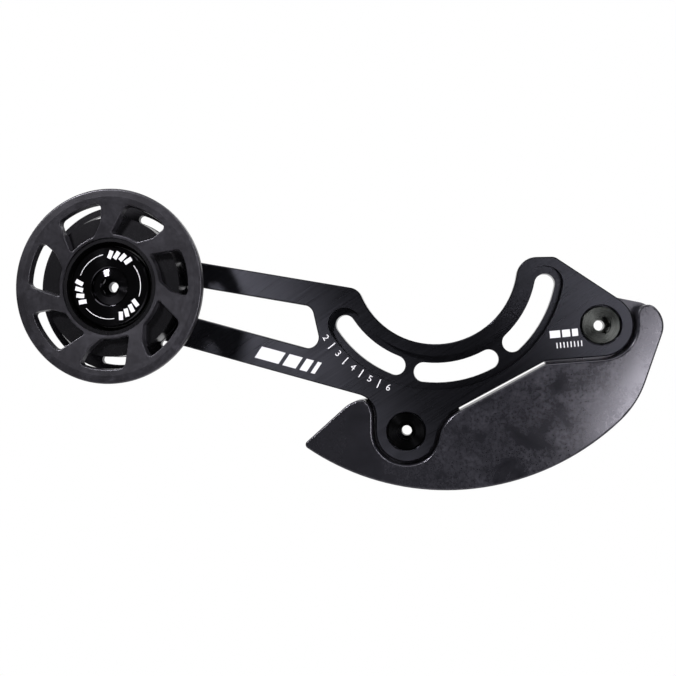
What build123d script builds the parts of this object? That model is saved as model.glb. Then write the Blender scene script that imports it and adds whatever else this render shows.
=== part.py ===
"""Bicycle chain guide: a slotted arm plate that bolts round a bottom bracket, a moulded skid under
the chainring, and a flanged chain pulley on a sealed bearing.

The origin is the bottom bracket axis on the mounting face. +X runs from the pulley towards the skid,
+Z is up and -Y is the outer side, where the pulley is. Every height is measured outwards (-Y) from
the mounting face, and every sketch is drawn as seen from outside, X to the right and Z up.
"""
from build123d import *
from math import acos, atan2, cos, degrees, dist, radians, sin
import os

# Mounting slots and bottom bracket cut-out
slot_circle_r = 34.0
slot_width = 6.1
slot_count = 3
slot_span = 35.0  # degrees between the end centres of one slot
slot_pitch = 50.1  # degrees between slots
slot_middle_angle = -78.7
bracket_r = 25.1
recess_width = 10.6
recess_depth = 2.0
pad_width = 12.6
pad_t = 0.6

# Plate and its arm
plate_t = 4.4
plate_edge = 0.35
pulley_x = -101.1
pulley_z = -7.0
boss_r = 12.7
upper_edge_angle = -10.0
neck_rise = 9.91
upper_bar_w = 7.9
lower_bar_w = 9.75
window_root_top = (-38.9, -12.6)
window_root_bottom = (-35.4, -27.6)
window_corner_r = 3.4
window_boss_r = 1.0
shoulder_r = 4.5
horn_top = 1.5
horn_corner_x = 36.2
horn_inner_r = 6.0
horn_outer_r = 3.0
belly_x = 33.4
belly_z = -30.2
belly_angle = 29.0
belly_r = 3.0
neck_left_r = 7.0
neck_right_r = 12.0

# Skid bolts, on the two lobes of the plate
lower_bolt_angle = -100.21  # degrees round the skid's lower arc
lower_bolt_inset = 17.01
front_bolt_angle = -27.88
front_bolt_inset = 21.72
lobe_r = 9.45
head_r = 5.7
head_t = 1.6
head_sunk = 0.2
head_gap = 0.3
head_edge = 0.25
seat_edge = 0.25
mouth_r = 3.0
mouth_depth = 0.6
hex_flats = 5.0
hex_depth = 3.4
skid_bolt_r = 4.05
skid_bolt_length = 6.5
bolt_hole_r = 1.6
nut_r = 4.9
nut_flange_r = 7.2
nut_flange_t = 1.5

# Skid
skid_arc_r = 76.25
skid_arc_x = 1.5
skid_arc_z = 6.1
skid_tip_angle = -124.3  # degrees round the lower arc
skid_heel_angle = -39.37
skid_slope_angle = 42.2
skid_shelf_rise = 9.7
skid_shelf_r = 9.5
skid_tip_r = 1.3
skid_end_angle = 71.2
skid_end_length = 29.74
skid_tab_r = 7.6
skid_heel_r = 30.0
skid_floor_t = 4.1
skid_proud = 0.8
skid_gap = 1.0
skid_round = 0.7
skid_lip_r = 3.0
floor_reach = 8.3

# Pulley
flange_r = 30.5
flange_t = 2.5
flange_edge = 0.7
groove_w = 8.0
drum_r = 22.05
rear_lip = 4.75
rear_flange_t = 1.6
arm_gap = 0.9
web_t = 3.4
web_dish = 1.2
hub_wall = 1.3
hub_sunk = 0.4
lip_t = 0.8
lip_lap = 1.1
opening_count = 7
opening_outer_r = 26.1
opening_hub_w = 0.9
opening_start = 95.0  # degrees, at the outer end of the first opening
opening_span = 33.5
opening_sweep = 12.5  # degrees that the inner end runs ahead
opening_knee_r = 20.5
opening_knee_angle = 2.0
knee_round = 4.0
outer_lead_round = 1.4
outer_tail_round = 2.2
inner_lead_round = 2.5
inner_tail_round = 0.9
opening_draft = 7.0
opening_edge = 0.35
window_start = 49.5  # degrees, first rear window
window_span = 25.0
window_w = 2.5
window_drum_gap = 0.15

# Bearing, 15 x 28 x 7
bearing_bore_r = 7.5
bearing_r = 14.0
bearing_w = 7.0
race_t = 1.65
ball_sunk = 0.385
ball_count = 12
ball_gap = 0.1
cage_t = 1.5
cage_w = 5.0
cage_gap = 0.2
seal_t = 0.6
seal_sunk = 0.15
seal_lap = 0.55
seal_gap = 0.25

# Axle, cap and bolt that hold the pulley
axle_wall = 1.3
axle_lip = 2.4
axle_flange_t = 1.5
thread_r = 4.95
thread_length = 3.2
axle_sunk = 0.2
cap_lap = 1.3
cap_t = 2.2
cap_edge = 0.5
cap_gap = 0.3
pulley_bolt_length = 5.5
pulley_head_t = 1.3
pulley_crown = 0.75
pulley_crown_r = 3.4

fit = 0.03  # radial clearance of pieces that stay together

os.makedirs("parts", exist_ok=True)

outside = Plane(origin=(0, 0, 0), x_dir=(1, 0, 0), z_dir=(0, -1, 0))
pulley_face = Plane(origin=(pulley_x, 0, pulley_z), x_dir=(1, 0, 0), z_dir=(0, -1, 0))
pulley_section = Plane(origin=(pulley_x, 0, pulley_z), x_dir=(1, 0, 0), z_dir=(0, 0, -1))
pulley_axis = Axis((pulley_x, 0, pulley_z), (0, -1, 0))

plate_front = pad_t + plate_t
skid_front = plate_front + skid_proud
skid_back = pad_t - skid_floor_t
rear_flange_back = plate_front + arm_gap
groove_back = rear_flange_back + rear_flange_t
groove_front = groove_back + groove_w
flange_front = groove_front + flange_t
drum_front = flange_front - web_t
bearing_back = rear_flange_back + lip_t
bearing_front = bearing_back + bearing_w
bearing_middle = bearing_back + bearing_w / 2
cap_back = bearing_front + cap_gap
cap_front = cap_back + cap_t
race_inner_r = bearing_bore_r + race_t
race_outer_r = bearing_r - race_t
ball_circle_r = (race_inner_r + race_outer_r) / 2
ball_r = (race_outer_r - race_inner_r) / 2 + ball_sunk
seal_r = race_outer_r + seal_lap
axle_flange_r = bearing_bore_r + axle_lip
cap_r = bearing_r - cap_lap
lip_r = bearing_r - lip_lap
register_r = bearing_r + hub_wall
rear_flange_r = drum_r + rear_lip
opening_inner_r = register_r + opening_hub_w
rim_land = flange_r - flange_edge - opening_outer_r
web_dish_r = opening_outer_r + rim_land / 2


def polar(radius, angle):
    return (radius * cos(radians(angle)), radius * sin(radians(angle)))


def along(point, angle, distance):
    step = polar(distance, angle)
    return (point[0] + step[0], point[1] + step[1])


def heading(start, end):
    return degrees(atan2(end[1] - start[1], end[0] - start[0]))


def meet(point_a, angle_a, point_b, angle_b):
    """Crossing of two lines, each given by a point and an angle."""
    ux, uz = polar(1, angle_a)
    vx, vz = polar(1, angle_b)
    dx, dz = point_b[0] - point_a[0], point_b[1] - point_a[1]
    reach = (dx * vz - dz * vx) / (ux * vz - uz * vx)
    return (point_a[0] + reach * ux, point_a[1] + reach * uz)


def touch(centre, radius, point, side):
    """Where a tangent from a point touches a circle, left (+1) or right (-1) seen from the centre."""
    opening = degrees(acos(radius / dist(centre, point)))
    return along(centre, heading(centre, point) + side * opening, radius)


def leave(centre, radius, point, angle):
    """Where a line from a point inside a circle leaves the circle."""
    foot = meet(point, angle, centre, angle + 90)
    half_chord = (radius ** 2 - dist(centre, foot) ** 2) ** 0.5
    return along(foot, angle, half_chord)


def round_corner(sketch, corner, radius):
    fillet(sketch.vertices().sort_by_distance(Vector(*corner, 0))[0], radius)


def finish(piece, name):
    piece.part.label = name
    export_step(piece.part, f"parts/{name}.step")


# The bolts keep their distance from the skid's lower arc
skid_arc = (skid_arc_x, skid_arc_z)
lower_bolt = along(skid_arc, lower_bolt_angle, skid_arc_r - lower_bolt_inset)
front_bolt = along(skid_arc, front_bolt_angle, skid_arc_r - front_bolt_inset)

# Lines of the plate's outline
pulley_centre = (pulley_x, pulley_z)
belly = (belly_x, belly_z)
horn_corner = (horn_corner_x, horn_top)
upper_tangent = along(pulley_centre, upper_edge_angle + 90, boss_r)
lobe_left = (lower_bolt[0] - lobe_r, lower_bolt[1])
neck = (lobe_left[0], lobe_left[1] + neck_rise)
lower_tangent = touch(pulley_centre, boss_r, neck, -1)
lower_edge_angle = heading(lower_tangent, neck)
belly_end = meet(belly, belly_angle, lower_bolt, belly_angle + 90)
front_lobe_low = touch(front_bolt, lobe_r, belly, 1)
front_lobe_high = touch(front_bolt, lobe_r, horn_corner, -1)
upper_foot = meet(upper_tangent, upper_edge_angle, (0, 0), upper_edge_angle + 90)
shoulder = leave((0, 0), bracket_r, upper_foot, upper_edge_angle + 180)

with BuildSketch() as plate_outline:
    with BuildLine():
        Polyline(
            upper_tangent,
            upper_foot,
            (0, horn_top),
            horn_corner,
            front_lobe_high,
            front_bolt,
            front_lobe_low,
            belly,
            belly_end,
            lower_bolt,
            lobe_left,
            neck,
            lower_tangent,
            pulley_centre,
            close=True,
        )
    make_face()
    with Locations(pulley_centre):
        Circle(boss_r)
    with Locations(lower_bolt, front_bolt):
        Circle(lobe_r)
    Circle(bracket_r, mode=Mode.SUBTRACT)
    round_corner(plate_outline, shoulder, shoulder_r)
    round_corner(plate_outline, (bracket_r, horn_top), horn_inner_r)
    round_corner(plate_outline, horn_corner, horn_outer_r)
    round_corner(plate_outline, belly, belly_r)
    round_corner(plate_outline, along(belly_end, belly_angle, lobe_r), neck_right_r)
    round_corner(plate_outline, neck, neck_left_r)

# Window between the two bars of the arm
upper_inner = along(upper_tangent, upper_edge_angle - 90, upper_bar_w)
lower_inner = along(lower_tangent, lower_edge_angle + 90, lower_bar_w)
root_angle = heading(window_root_top, window_root_bottom)
window_top = meet(upper_inner, upper_edge_angle, window_root_top, root_angle)
window_bottom = meet(lower_inner, lower_edge_angle, window_root_bottom, root_angle)

with BuildSketch() as arm_window:
    with BuildLine():
        Polyline(upper_inner, window_top, window_bottom, lower_inner, close=True)
    make_face()
    with Locations(pulley_centre):
        Circle(boss_r, mode=Mode.SUBTRACT)
    round_corner(arm_window, window_top, window_corner_r)
    round_corner(arm_window, window_bottom, window_corner_r)
    boss_corners = arm_window.vertices().sort_by_distance(Vector(*pulley_centre, 0))[:2]
    fillet(boss_corners, window_boss_r)

# Arcs of the mounting slots
first_slot_angle = slot_middle_angle - slot_pitch * (slot_count - 1) / 2 - slot_span / 2
row_span = slot_pitch * (slot_count - 1) + slot_span
slot_row = CenterArc((0, 0), slot_circle_r, first_slot_angle, row_span)
slot_arcs = [
    CenterArc((0, 0), slot_circle_r, first_slot_angle + index * slot_pitch, slot_span)
    for index in range(slot_count)
]

with BuildPart() as backplate:
    with BuildSketch(outside.offset(pad_t)):
        add(plate_outline.sketch_local)
        add(arm_window.sketch_local, mode=Mode.SUBTRACT)
    extrude(amount=plate_t)
    chamfer(backplate.faces().filter_by(Axis.Y).edges(), plate_edge)
    with BuildSketch(outside):
        SlotArc(slot_row, pad_width)
    extrude(amount=pad_t)
    with BuildSketch(outside.offset(plate_front)):
        SlotArc(slot_row, recess_width)
    extrude(amount=-recess_depth, mode=Mode.SUBTRACT)
    with BuildSketch(outside):
        for arc in slot_arcs:
            SlotArc(arc, slot_width)
    extrude(amount=plate_front, mode=Mode.SUBTRACT)
    with BuildSketch(outside.offset(plate_front)):
        with Locations(lower_bolt, front_bolt):
            Circle(head_r + head_gap)
    extrude(amount=-(head_t + head_sunk), mode=Mode.SUBTRACT)
    with BuildSketch(outside.offset(plate_front)):
        with Locations(lower_bolt, front_bolt):
            Circle(head_r + head_gap + seat_edge)
    extrude(amount=-seat_edge, taper=45, mode=Mode.SUBTRACT)
    with BuildSketch(outside.offset(pad_t)):
        with Locations(lower_bolt, front_bolt):
            Circle(nut_r + fit)
        with Locations(pulley_centre):
            Circle(bearing_bore_r + fit)
    extrude(amount=plate_t, mode=Mode.SUBTRACT)
    with BuildSketch(outside.offset(pad_t)):
        with Locations(pulley_centre):
            Circle(axle_flange_r + fit)
    extrude(amount=axle_flange_t, mode=Mode.SUBTRACT)
finish(backplate, "backplate")

# Skid outline: a great lower arc, straight upper edges, and lines that lie hidden behind the plate
skid_shelf = (lower_bolt[0], lower_bolt[1] + skid_shelf_rise)
skid_tip = along(skid_arc, skid_tip_angle, skid_arc_r)
skid_heel = along(skid_arc, skid_heel_angle, skid_arc_r)
skid_tab = along(skid_heel, skid_end_angle, skid_end_length)
shelf_corner = meet(skid_tip, skid_slope_angle, skid_shelf, 0)
tab_touch = touch(front_bolt, lobe_r, skid_tab, 1)
lip_foot = (front_bolt[0] + lobe_r + skid_gap, front_bolt[1])

# Nose of the raised tab: one arc from the wall of the pocket to the tab's corner
tab_edge_angle = heading(tab_touch, skid_tab)
tab_centre = meet(
    along(tab_touch, tab_edge_angle - 90, skid_tab_r),
    tab_edge_angle,
    along(skid_heel, skid_end_angle + 90, skid_tab_r),
    skid_end_angle,
)
nose_foot = (lip_foot[0] + skid_lip_r, tab_centre[1])
nose = leave(tab_centre, skid_tab_r - skid_lip_r, nose_foot, 90)
nose_end = along(tab_centre, heading(tab_centre, nose), 2 * skid_tab_r)

with BuildSketch() as skid_outline:
    with BuildLine():
        Polyline(
            skid_tip,
            shelf_corner,
            skid_shelf,
            belly_end,
            belly,
            (front_bolt[0] - lobe_r, front_bolt[1]),
            front_bolt,
            tab_touch,
            skid_tab,
            skid_heel,
        )
        ThreePointArc(skid_heel, along(skid_arc, -90, skid_arc_r), skid_tip)
    make_face()
    with Locations(front_bolt):
        Circle(lobe_r)
    round_corner(skid_outline, shelf_corner, skid_shelf_r)
    round_corner(skid_outline, skid_tab, skid_tab_r)
    round_corner(skid_outline, skid_tip, skid_tip_r)
    round_corner(skid_outline, skid_heel, skid_heel_r)

# Raised face of the skid, clear of the plate all round
with BuildSketch() as skid_raised:
    add(skid_outline.sketch_local)
    with BuildSketch(mode=Mode.SUBTRACT):
        add(plate_outline.sketch_local)
        offset(amount=skid_gap, kind=Kind.ARC)
        with BuildLine():
            Polyline(
                front_bolt,
                lip_foot,
                (lip_foot[0], nose[1]),
                nose,
                nose_end,
                tab_touch,
                close=True,
            )
        make_face()
    with Locations(nose):
        Circle(skid_lip_r)

# Pocket floors that the lobes of the plate seat on
with BuildSketch() as skid_floor:
    with Locations(lower_bolt):
        Circle(lobe_r + floor_reach)
    with Locations(front_bolt):
        Circle(dist(front_bolt, belly))
    add(skid_outline.sketch_local, mode=Mode.INTERSECT)

with BuildPart() as skid_plate:
    with BuildSketch(outside.offset(skid_back)):
        add(skid_raised.sketch_local)
    extrude(amount=skid_front - skid_back)
    fillet(skid_plate.faces().filter_by(Axis.Y).sort_by(Axis.Y)[0].edges(), skid_round)
    with BuildSketch(outside.offset(skid_back)):
        add(skid_floor.sketch_local)
    extrude(amount=skid_floor_t)
    with BuildSketch(outside.offset(skid_back)):
        with Locations(lower_bolt, front_bolt):
            Circle(nut_r + fit)
    extrude(amount=skid_floor_t, mode=Mode.SUBTRACT)
    with BuildSketch(outside.offset(skid_back)):
        with Locations(lower_bolt, front_bolt):
            Circle(nut_flange_r + fit)
    extrude(amount=nut_flange_t, mode=Mode.SUBTRACT)
finish(skid_plate, "skid_plate")


def hollow_bolt(place, top, head_height, shank_r, length, crown_r, crown):
    """Hollow bolt with a hex socket. Its head falls by crown from the radius crown_r to its edge."""
    with BuildPart() as bolt:
        with BuildSketch(Plane(origin=place, x_dir=(1, 0, 0), z_dir=(0, 0, -1))):
            with BuildLine():
                Polyline(
                    (bolt_hole_r, top - length),
                    (shank_r, top - length),
                    (shank_r, top - head_height),
                    (head_r, top - head_height),
                    (head_r, top - crown),
                    (crown_r, top),
                    (mouth_r, top),
                    (mouth_r, top - mouth_depth),
                    (bolt_hole_r, top - mouth_depth),
                    close=True,
                )
            make_face()
        revolve(axis=Axis(place, (0, -1, 0)))
        socket = Plane(origin=place, x_dir=(1, 0, 0), z_dir=(0, -1, 0)).offset(top)
        with BuildSketch(socket):
            RegularPolygon(hex_flats / 2, 6, major_radius=False)
        extrude(amount=-hex_depth, mode=Mode.SUBTRACT)
    return bolt


skid_bolt_top = plate_front - head_sunk
for bolt_name, bolt_place in (("lower_skid_bolt", lower_bolt), ("front_skid_bolt", front_bolt)):
    skid_bolt = hollow_bolt(
        (bolt_place[0], 0, bolt_place[1]),
        skid_bolt_top,
        head_t,
        skid_bolt_r,
        skid_bolt_length,
        head_r - head_edge,
        head_edge,
    )
    finish(skid_bolt, bolt_name)

with BuildPart() as skid_nuts:
    with BuildSketch(outside.offset(skid_back)):
        with Locations(lower_bolt, front_bolt):
            Circle(nut_flange_r)
    extrude(amount=nut_flange_t)
    with BuildSketch(outside.offset(skid_back)):
        with Locations(lower_bolt, front_bolt):
            Circle(nut_r)
    extrude(amount=skid_bolt_top - head_t - fit - skid_back)
    with BuildSketch(outside.offset(skid_back)):
        with Locations(lower_bolt, front_bolt):
            Circle(skid_bolt_r + fit)
    extrude(amount=skid_bolt_top - skid_back, mode=Mode.SUBTRACT)
finish(skid_nuts, "skid_nuts")

# Swirl opening of the front flange
opening_inner_start = opening_start + opening_sweep
opening_end = opening_start + opening_span
opening_outer_a = polar(opening_outer_r, opening_start)
opening_outer_b = polar(opening_outer_r, opening_end)
opening_inner_a = polar(opening_inner_r, opening_inner_start)
opening_inner_b = polar(opening_inner_r, opening_end + opening_sweep)
opening_knee = polar(opening_knee_r, opening_start + opening_knee_angle)

with BuildSketch() as swirl_opening:
    with BuildLine():
        CenterArc((0, 0), opening_outer_r, opening_start, opening_span)
        Line(opening_outer_b, opening_inner_b)
        CenterArc((0, 0), opening_inner_r, opening_inner_start, opening_span)
        Polyline(opening_inner_a, opening_knee, opening_outer_a)
    make_face()
    round_corner(swirl_opening, opening_knee, knee_round)
    round_corner(swirl_opening, opening_outer_a, outer_lead_round)
    round_corner(swirl_opening, opening_outer_b, outer_tail_round)
    round_corner(swirl_opening, opening_inner_a, inner_lead_round)
    round_corner(swirl_opening, opening_inner_b, inner_tail_round)

with BuildPart() as pulley_front_flange:
    with BuildSketch(pulley_section):
        with BuildLine():
            Polyline(
                (register_r + fit, drum_front),
                (drum_r, drum_front),
                (drum_r, groove_front),
                (flange_r, groove_front),
                (flange_r, flange_front),
                (web_dish_r, flange_front),
                (register_r + fit, flange_front - web_dish),
                close=True,
            )
        make_face()
    revolve(axis=pulley_axis)
    rim_edges = pulley_front_flange.edges().filter_by(GeomType.CIRCLE).sort_by(SortBy.RADIUS)
    fillet(rim_edges[-2:], flange_edge)
    with BuildSketch(pulley_face.offset(flange_front)):
        with PolarLocations(0, opening_count):
            add(swirl_opening.sketch_local)
    extrude(amount=-web_t, taper=opening_draft, mode=Mode.SUBTRACT)
    web_face = pulley_front_flange.faces().filter_by(GeomType.CONE).sort_by(SortBy.AREA)[-1]
    opening_edges = ShapeList(edge for wire in web_face.inner_wires() for edge in wire.edges())
    opening_edges = opening_edges.filter_by(GeomType.CIRCLE, reverse=True)
    fillet(opening_edges, min(opening_edge, rim_land / 4))
finish(pulley_front_flange, "pulley_front_flange")

window_r = drum_r + window_drum_gap + window_w / 2
window_end_angle = degrees(window_w / 2 / window_r)
window_arc_span = window_span - 2 * window_end_angle
window_arc = CenterArc((0, 0), window_r, window_start + window_end_angle, window_arc_span)

with BuildPart() as pulley_drum:
    with BuildSketch(pulley_section):
        with BuildLine():
            Polyline(
                (lip_r, rear_flange_back),
                (rear_flange_r, rear_flange_back),
                (rear_flange_r, groove_back),
                (drum_r, groove_back),
                (drum_r, drum_front),
                (register_r, drum_front),
                (register_r, flange_front - web_dish - hub_sunk),
                (bearing_r + fit, flange_front - web_dish - hub_sunk),
                (bearing_r + fit, bearing_back),
                (lip_r, bearing_back),
                close=True,
            )
        make_face()
    revolve(axis=pulley_axis)
    with BuildSketch(pulley_face.offset(rear_flange_back)):
        with PolarLocations(0, opening_count):
            SlotArc(window_arc, window_w)
    extrude(amount=rear_flange_t, mode=Mode.SUBTRACT)
finish(pulley_drum, "pulley_drum")


def ring(inner_r, outer_r, back, front):
    """Plain ring round the pulley axis."""
    with BuildPart() as piece:
        with BuildSketch(pulley_face.offset(back)):
            Circle(outer_r)
            Circle(inner_r, mode=Mode.SUBTRACT)
        extrude(amount=front - back)
    return piece


# Section of the groove that the balls run in
with BuildSketch(pulley_section) as ball_groove:
    with Locations((ball_circle_r, bearing_middle)):
        Circle(ball_r + ball_gap)

with BuildPart() as bearing_outer_race:
    with BuildSketch(pulley_face.offset(bearing_back)):
        Circle(bearing_r)
        Circle(race_outer_r, mode=Mode.SUBTRACT)
    extrude(amount=bearing_w)
    revolve(ball_groove.sketch, axis=pulley_axis, mode=Mode.SUBTRACT)
    with BuildSketch(pulley_face.offset(bearing_back)):
        Circle(seal_r + fit)
    extrude(amount=seal_sunk + seal_t, mode=Mode.SUBTRACT)
    with BuildSketch(pulley_face.offset(bearing_front)):
        Circle(seal_r + fit)
    extrude(amount=-(seal_sunk + seal_t), mode=Mode.SUBTRACT)
finish(bearing_outer_race, "bearing_outer_race")

with BuildPart() as bearing_inner_race:
    with BuildSketch(pulley_face.offset(bearing_back)):
        Circle(race_inner_r)
        Circle(bearing_bore_r + fit, mode=Mode.SUBTRACT)
    extrude(amount=bearing_w)
    revolve(ball_groove.sketch, axis=pulley_axis, mode=Mode.SUBTRACT)
finish(bearing_inner_race, "bearing_inner_race")

ball_plane = pulley_face.offset(bearing_middle)
with BuildPart() as bearing_balls:
    with Locations(ball_plane):
        with PolarLocations(ball_circle_r, ball_count):
            Sphere(ball_r)
finish(bearing_balls, "bearing_balls")

with BuildPart() as bearing_cage:
    with BuildSketch(pulley_face.offset(bearing_middle - cage_w / 2)):
        Circle(ball_circle_r + cage_t / 2)
        Circle(ball_circle_r - cage_t / 2, mode=Mode.SUBTRACT)
    extrude(amount=cage_w)
    with Locations(ball_plane):
        with PolarLocations(ball_circle_r, ball_count):
            Cylinder(ball_r + cage_gap, 2 * cage_t, rotation=(0, 90, 0), mode=Mode.SUBTRACT)
finish(bearing_cage, "bearing_cage")

seal_inner_r = race_inner_r + seal_gap
finish(
    ring(seal_inner_r, seal_r, bearing_back + seal_sunk, bearing_back + seal_sunk + seal_t),
    "bearing_rear_seal",
)
finish(
    ring(seal_inner_r, seal_r, bearing_front - seal_sunk - seal_t, bearing_front - seal_sunk),
    "bearing_front_seal",
)
finish(ring(bearing_bore_r + fit, race_inner_r, plate_front, bearing_back), "pulley_spacer")

# Hollow axle, clamped through the arm by the bolt
axle_front = bearing_front - axle_sunk
with BuildPart() as pulley_axle:
    with BuildSketch(pulley_section):
        with BuildLine():
            Polyline(
                (bearing_bore_r - axle_wall, pad_t),
                (axle_flange_r, pad_t),
                (axle_flange_r, pad_t + axle_flange_t),
                (bearing_bore_r, pad_t + axle_flange_t),
                (bearing_bore_r, axle_front),
                (thread_r + fit, axle_front),
                (thread_r + fit, axle_front - thread_length),
                (bearing_bore_r - axle_wall, axle_front - thread_length),
                close=True,
            )
        make_face()
    revolve(axis=pulley_axis)
finish(pulley_axle, "pulley_axle")

with BuildPart() as hub_cap:
    with BuildSketch(pulley_section):
        with BuildLine():
            Polyline(
                (thread_r + fit, bearing_front),
                (race_inner_r, bearing_front),
                (race_inner_r, cap_back),
                (cap_r, cap_back),
                (cap_r, cap_front - cap_edge),
                (cap_r - cap_edge, cap_front),
                (head_r + head_gap + seat_edge, cap_front),
                (head_r + head_gap, cap_front - seat_edge),
                (head_r + head_gap, cap_front - pulley_head_t),
                (thread_r + fit, cap_front - pulley_head_t),
                close=True,
            )
        make_face()
    revolve(axis=pulley_axis)
finish(hub_cap, "hub_cap")

pulley_bolt = hollow_bolt(
    (pulley_x, 0, pulley_z),
    cap_front,
    pulley_head_t,
    thread_r,
    pulley_bolt_length,
    pulley_crown_r,
    pulley_crown,
)
finish(pulley_bolt, "pulley_bolt")
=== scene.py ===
"""Finishes a bicycle chain guide: brushed plate, scuffed skid, moulded pulley, turned bolts and white print.

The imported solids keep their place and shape. This file gives them their surfaces, adds the print and sets up
a small studio. Lengths are in metres, in the frame of the solids: the origin is the bottom bracket axis on
the mounting face, +X runs to the skid's front end, +Z is up and -Y faces outwards.
"""

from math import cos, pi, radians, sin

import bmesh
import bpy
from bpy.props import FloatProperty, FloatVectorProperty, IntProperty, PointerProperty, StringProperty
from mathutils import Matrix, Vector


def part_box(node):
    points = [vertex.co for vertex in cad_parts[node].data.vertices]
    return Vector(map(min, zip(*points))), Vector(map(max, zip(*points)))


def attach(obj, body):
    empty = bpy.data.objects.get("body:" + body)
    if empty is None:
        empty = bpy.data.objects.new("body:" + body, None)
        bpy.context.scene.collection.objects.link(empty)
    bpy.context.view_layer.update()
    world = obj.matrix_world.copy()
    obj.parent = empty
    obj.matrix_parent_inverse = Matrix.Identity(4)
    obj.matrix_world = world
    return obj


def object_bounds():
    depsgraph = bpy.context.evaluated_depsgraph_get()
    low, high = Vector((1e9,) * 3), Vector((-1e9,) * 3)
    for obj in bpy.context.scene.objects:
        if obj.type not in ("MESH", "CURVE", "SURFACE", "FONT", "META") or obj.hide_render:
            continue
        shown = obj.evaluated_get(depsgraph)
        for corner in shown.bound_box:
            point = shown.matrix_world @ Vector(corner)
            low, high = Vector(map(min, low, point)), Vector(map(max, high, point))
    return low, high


bl_info = {
    "name": "Chain guide finish",
    "version": (1, 0, 0),
    "blender": (4, 5, 0),
    "location": "View3D > Sidebar > Chain guide",
    "description": "Surfaces, print and studio of a bicycle chain guide",
    "category": "Object",
}

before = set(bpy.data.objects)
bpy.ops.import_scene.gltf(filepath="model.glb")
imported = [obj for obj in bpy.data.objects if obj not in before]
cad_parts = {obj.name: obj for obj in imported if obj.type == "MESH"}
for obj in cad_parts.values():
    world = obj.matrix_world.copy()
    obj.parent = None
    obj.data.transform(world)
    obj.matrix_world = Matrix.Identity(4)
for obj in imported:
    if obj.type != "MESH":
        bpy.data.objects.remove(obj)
CAD_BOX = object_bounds()


def axis_of(low, high):
    """X and Z of a round node's axis, from the corners of its box."""
    return (low.x + high.x) / 2, (low.z + high.z) / 2


MM = 0.001
CAP_LOW, CAP_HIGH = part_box("hub_cap")
PULLEY_CENTRE = axis_of(CAP_LOW, CAP_HIGH)

# Front faces: how far out the plate's and the cap's lie, and the Y of the skid's
PLATE_FRONT = -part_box("backplate")[0].y
CAP_FRONT = -CAP_LOW.y
SKID_FRONT_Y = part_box("skid_plate")[0].y

# Turns a drawing seen from outside, X right, Y up and Z towards the viewer, into the frame of the solids
OUTSIDE = Matrix.Rotation(radians(90), 4, "X")

# Points of the print nearer than this become one
WELD = 1e-7

WHITE = (1, 1, 1, 1)
INK = "white_screen_ink"

# Range that most of a noise lies in
NOISE_LOW = 0.3
NOISE_HIGH = 0.7

# Colour sockets of a Mix node, which gives its number and vector sockets the same names
MIX_A = 6
MIX_B = 7
MIX_RESULT = 2

# Moulded nylon: grains across a fibre of a scuff, share of the scuffs, and of the painted highlight with them,
# where they begin, roughness that a full scuff adds, and depth behind a rubbed face at which its polish has
# gone
GRAINS_PER_FIBRE = 10 / 3
FIRST_SCUFFS = 0.15
SCUFF_ROUGH = 0.2
RIM_DEPTH = 0.3 * MM

# Scuffs and painted highlight from X to X, and Y of the polished face, for a piece that lies wholly past all
# three: it is scuffed evenly, with no highlight painted along X, and has no polished face
WORN_ALL_OVER = (-2.0, -1.0, -1.0)

# Turned metal: how far its roughness rises and falls from ring to ring
RING_ROUGH = 0.05


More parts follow.
